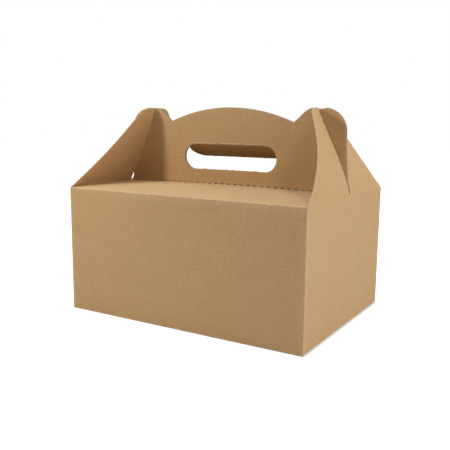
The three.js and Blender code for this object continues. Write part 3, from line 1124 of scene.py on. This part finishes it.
def seen_directly(tree):
    """1 for rays that show the background as white: camera, glossy and transmitted ones."""
    path = tree.nodes.new("ShaderNodeLightPath")
    total = path.outputs["Is Camera Ray"]
    for name in ("Is Glossy Ray", "Is Transmission Ray"):
        highest = tree.nodes.new("ShaderNodeMath")
        highest.operation = "MAXIMUM"
        tree.links.new(total, highest.inputs[0])
        tree.links.new(path.outputs[name], highest.inputs[1])
        total = highest.outputs["Value"]
    return total


def table_glow(nodes):
    """The table's own light by the distance from the box: least beside it, as a painted contact shadow,
    and white further off.
    """
    place = nodes.add("ShaderNodeSeparateXYZ")
    nodes.link(nodes.add("ShaderNodeTexCoord").outputs["Object"], place.inputs["Vector"])
    along = nodes.math("SUBTRACT", nodes.math("ABSOLUTE", place.outputs["X"], 0.0), HALF_LENGTH)
    across = nodes.math("SUBTRACT", nodes.math("ABSOLUTE", place.outputs["Y"], 0.0), HALF_WIDTH)
    away = nodes.math("MAXIMUM", along, across)
    # Painted contact shadow: less glow right beside the box
    near = nodes.ranged(away, 0.0, PAINTED_SHADOW_REACH, PAINTED_SHADOW_GLOW, TABLE_GLOW)
    far = nodes.ranged(away, PAINTED_SHADOW_REACH, TABLE_FADE, 0.0, 1.0 - TABLE_GLOW)
    return nodes.math("ADD", near, far)


def make_table():
    """A table that keeps the box's shadow, has a painted contact shadow at the box's foot, and looks white
    to the camera.
    """
    nodes = Nodes("white_table")
    nodes.tree.nodes.remove(nodes.shader)
    plain = nodes.add("ShaderNodeBsdfDiffuse")
    plain.inputs["Color"].default_value = (*TABLE_COLOUR, 1)
    glow = nodes.add("ShaderNodeEmission")
    path = nodes.add("ShaderNodeLightPath")
    level = nodes.math("MULTIPLY", path.outputs["Is Camera Ray"], table_glow(nodes))
    nodes.link(level, glow.inputs["Strength"])
    both = nodes.add("ShaderNodeAddShader")
    nodes.link(plain.outputs["BSDF"], both.inputs[0])
    nodes.link(glow.outputs["Emission"], both.inputs[1])
    nodes.link(both.outputs["Shader"], nodes.output.inputs["Surface"])
    half = TABLE_HALF
    mesh = bpy.data.meshes.new("table")
    corners = [(-half, -half, 0), (half, -half, 0), (half, half, 0), (-half, half, 0)]
    mesh.from_pydata(corners, [], [(0, 1, 2, 3)])
    mesh.materials.append(nodes.material)
    table = bpy.data.objects.new("table", mesh)
    bpy.context.scene.collection.objects.link(table)


def make_world():
    """A room that is white behind the box and gives it only a faint light."""
    world = bpy.data.worlds.new("white_room")
    world.use_nodes = True
    tree = world.node_tree
    background = tree.nodes["Background"]
    background.inputs["Color"].default_value = (1, 1, 1, 1)
    level = tree.nodes.new("ShaderNodeMapRange")
    tree.links.new(seen_directly(tree), level.inputs["Value"])
    level.inputs["To Min"].default_value = WORLD_LEVEL
    level.inputs["To Max"].default_value = 1.0
    tree.links.new(level.outputs["Result"], background.inputs["Strength"])
    bpy.context.scene.world = world


def make_lamp(name, toward, distance, size, level, colour):
    """A round lamp turned to the box. Its level is how brightly it alone lights a white face there."""
    place = LAMP_TARGET + Vector(toward).normalized() * distance
    light = bpy.data.lights.new(name, "AREA")
    light.shape = "DISK"
    light.size = size
    light.energy = level * math.pi**2 * distance**2
    light.color = colour
    lamp = bpy.data.objects.new(name, light)
    lamp.location = place
    lamp.rotation_euler = (LAMP_TARGET - place).to_track_quat("-Z", "Y").to_euler()
    bpy.context.scene.collection.objects.link(lamp)


def make_lamps():
    white = (1.0, 1.0, 1.0)
    warm = (1.0, 0.94, 0.85)
    cool = (0.98, 1.0, 1.04)
    sky = (0.94, 1.08, 1.30)
    make_lamp("key_softbox", (0.68, -0.30, 1.0), distance=1.5, size=0.40, level=0.26, colour=white)
    make_lamp("left_lamp", (-0.28, -0.40, 0.26), distance=0.54, size=0.08, level=0.42, colour=warm)
    make_lamp("right_softbox", (1.0, 0.0, 0.26), distance=1.1, size=0.55, level=0.51, colour=cool)
    make_lamp("top_softbox", (-0.18, 0.0, 1.0), distance=1.0, size=0.80, level=0.63, colour=sky)


def make_camera():
    """The camera at the photo's angle: turned by yaw, tipped down by dip and rolled."""
    level = math.cos(CAMERA_DIP)
    ahead = math.cos(CAMERA_YAW) * level
    forward = Vector((-math.sin(CAMERA_YAW) * level, ahead, -math.sin(CAMERA_DIP)))
    right = forward.cross(Vector((0, 0, 1))).normalized()
    up = right.cross(forward)
    rolled_right = right * math.cos(CAMERA_ROLL) + up * math.sin(CAMERA_ROLL)
    rolled_up = up * math.cos(CAMERA_ROLL) - right * math.sin(CAMERA_ROLL)
    turn = Matrix((rolled_right, rolled_up, -forward)).transposed().to_4x4()
    data = bpy.data.cameras.new("camera")
    data.lens = CAMERA_LENS
    data.sensor_width = CAMERA_SENSOR
    camera = bpy.data.objects.new("camera", data)
    camera.matrix_world = Matrix.Translation(Vector(CAMERA_PLACE)) @ turn
    bpy.context.scene.collection.objects.link(camera)
    bpy.context.scene.camera = camera


MATERIALS = {
    "face": kraft_face("kraft_board_face", 1.0),
    # The grip tabs' material has painted shade in its colour.
    "tab": kraft_face("kraft_board_tab_painted_shade", TAB_PAINTED_SHADE),
    "edge": kraft_edge(),
}
make_camera()
make_world()
make_table()
make_lamps()
make_carton()
make_wing("gable_wing_left", "left_wing", -1, pressed_bow, slack=0.0, seed=10.0)
make_wing("gable_wing_right", "right_wing", 1, loose_bow, RIGHT_WING_SLACK, seed=20.0)
make_tab("grip_tab_front", "front_grip_tab", -HANDLE_Y, seed=30.0)
make_tab("grip_tab_rear", "rear_grip_tab", HANDLE_Y, seed=40.0)

bpy.context.scene.view_settings.view_transform = "Standard"
